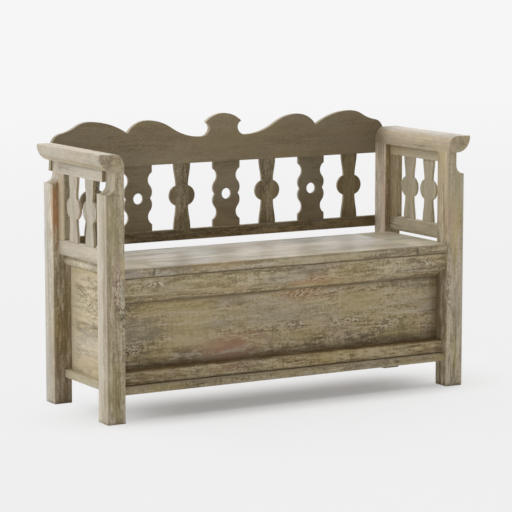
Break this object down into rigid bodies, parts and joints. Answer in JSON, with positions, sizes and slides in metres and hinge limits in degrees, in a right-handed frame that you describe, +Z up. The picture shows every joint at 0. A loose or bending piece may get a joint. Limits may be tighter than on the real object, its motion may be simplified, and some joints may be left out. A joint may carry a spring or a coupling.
{
  "type": "wooden storage bench",
  "caption": "Weathered wooden bench with scalloped crest, pierced and disc splats, rolled arms and a chest under a hinged seat lid.",
  "frame": {"origin": "centre of the overall box, on the floor", "axes": "+X along the bench to the right of someone looking at its front, +Y toward the back, +Z up"},
  "size_m": [1.284, 0.435, 0.8515],
  "materials": {
    "post_timber": "weathered, rough sawn, matt",
    "arm_timber": "weathered, worn smooth, matt",
    "arm_panel_timber": "weathered, matt",
    "back_board_timber": "dark stained, matt",
    "splat_timber": "dark stained, matt",
    "seat_timber": "weathered grey, worn smooth, matt",
    "chest_front_timber": "weathered, flaking old paint, matt",
    "chest_side_timber": "weathered, matt",
    "inner_timber": "plain sawn, matt",
    "hinge_iron": "dull, browned",
    "nail_iron": "dull"
  },
  "bodies": {
    "frame": {"back_bearer": "inner_timber", "back_board_nails": "nail_iron", "back_bottom_rail": "inner_timber", "back_panel": "inner_timber", "crest_rail": "back_board_timber", "disc_splat_1": "splat_timber", "disc_splat_2": "splat_timber", "disc_splat_3": "splat_timber", "disc_splat_4": "splat_timber", "floor_boards": "inner_timber", "front_bearer": "inner_timber", "front_bottom_rail": "chest_front_timber", "front_panel": "chest_front_timber", "front_top_rail": "chest_front_timber", "hinge_frame_leaf_left": "hinge_iron", "hinge_frame_leaf_right": "hinge_iron", "hinge_frame_nails": "nail_iron", "hinge_pins": "hinge_iron", "left_arm": "arm_timber", "left_arm_bottom_rail": "arm_panel_timber", "left_arm_stile": "arm_panel_timber", "left_arm_top_rail": "arm_panel_timber", "left_back_batten": "inner_timber", "left_back_post": "post_timber", "left_front_baluster": "arm_panel_timber", "left_front_batten": "inner_timber", "left_front_post": "post_timber", "left_rear_baluster": "arm_panel_timber", "left_seat_end": "seat_timber", "left_side_bottom_rail": "chest_side_timber", "left_side_panel": "chest_side_timber", "lower_back_rail": "back_board_timber", "pierced_splat_1": "splat_timber", "pierced_splat_2": "splat_timber", "pierced_splat_3": "splat_timber", "plinth_moulding": "chest_front_timber", "right_arm": "arm_timber", "right_arm_bottom_rail": "arm_panel_timber", "right_arm_stile": "arm_panel_timber", "right_arm_top_rail": "arm_panel_timber", "right_back_batten": "inner_timber", "right_back_post": "post_timber", "right_front_baluster": "arm_panel_timber", "right_front_batten": "inner_timber", "right_front_post": "post_timber", "right_rear_baluster": "arm_panel_timber", "right_seat_end": "seat_timber", "right_side_bottom_rail": "chest_side_timber", "right_side_panel": "chest_side_timber"},
    "lid": {"hinge_lid_leaf_left": "hinge_iron", "hinge_lid_leaf_right": "hinge_iron", "hinge_lid_nails": "nail_iron", "lid_back_plank": "seat_timber", "lid_front_plank": "seat_timber", "lid_left_cleat": "inner_timber", "lid_middle_plank": "seat_timber", "lid_right_cleat": "inner_timber"}
  },
  "joints": [
    {"name": "lid_hinge", "type": "hinge", "parent": "frame", "child": "lid", "pos_m": [-0.007, 0.1437, 0.422], "axis": [-1, 0, 0], "range_deg": [0, 94]}
  ]
}
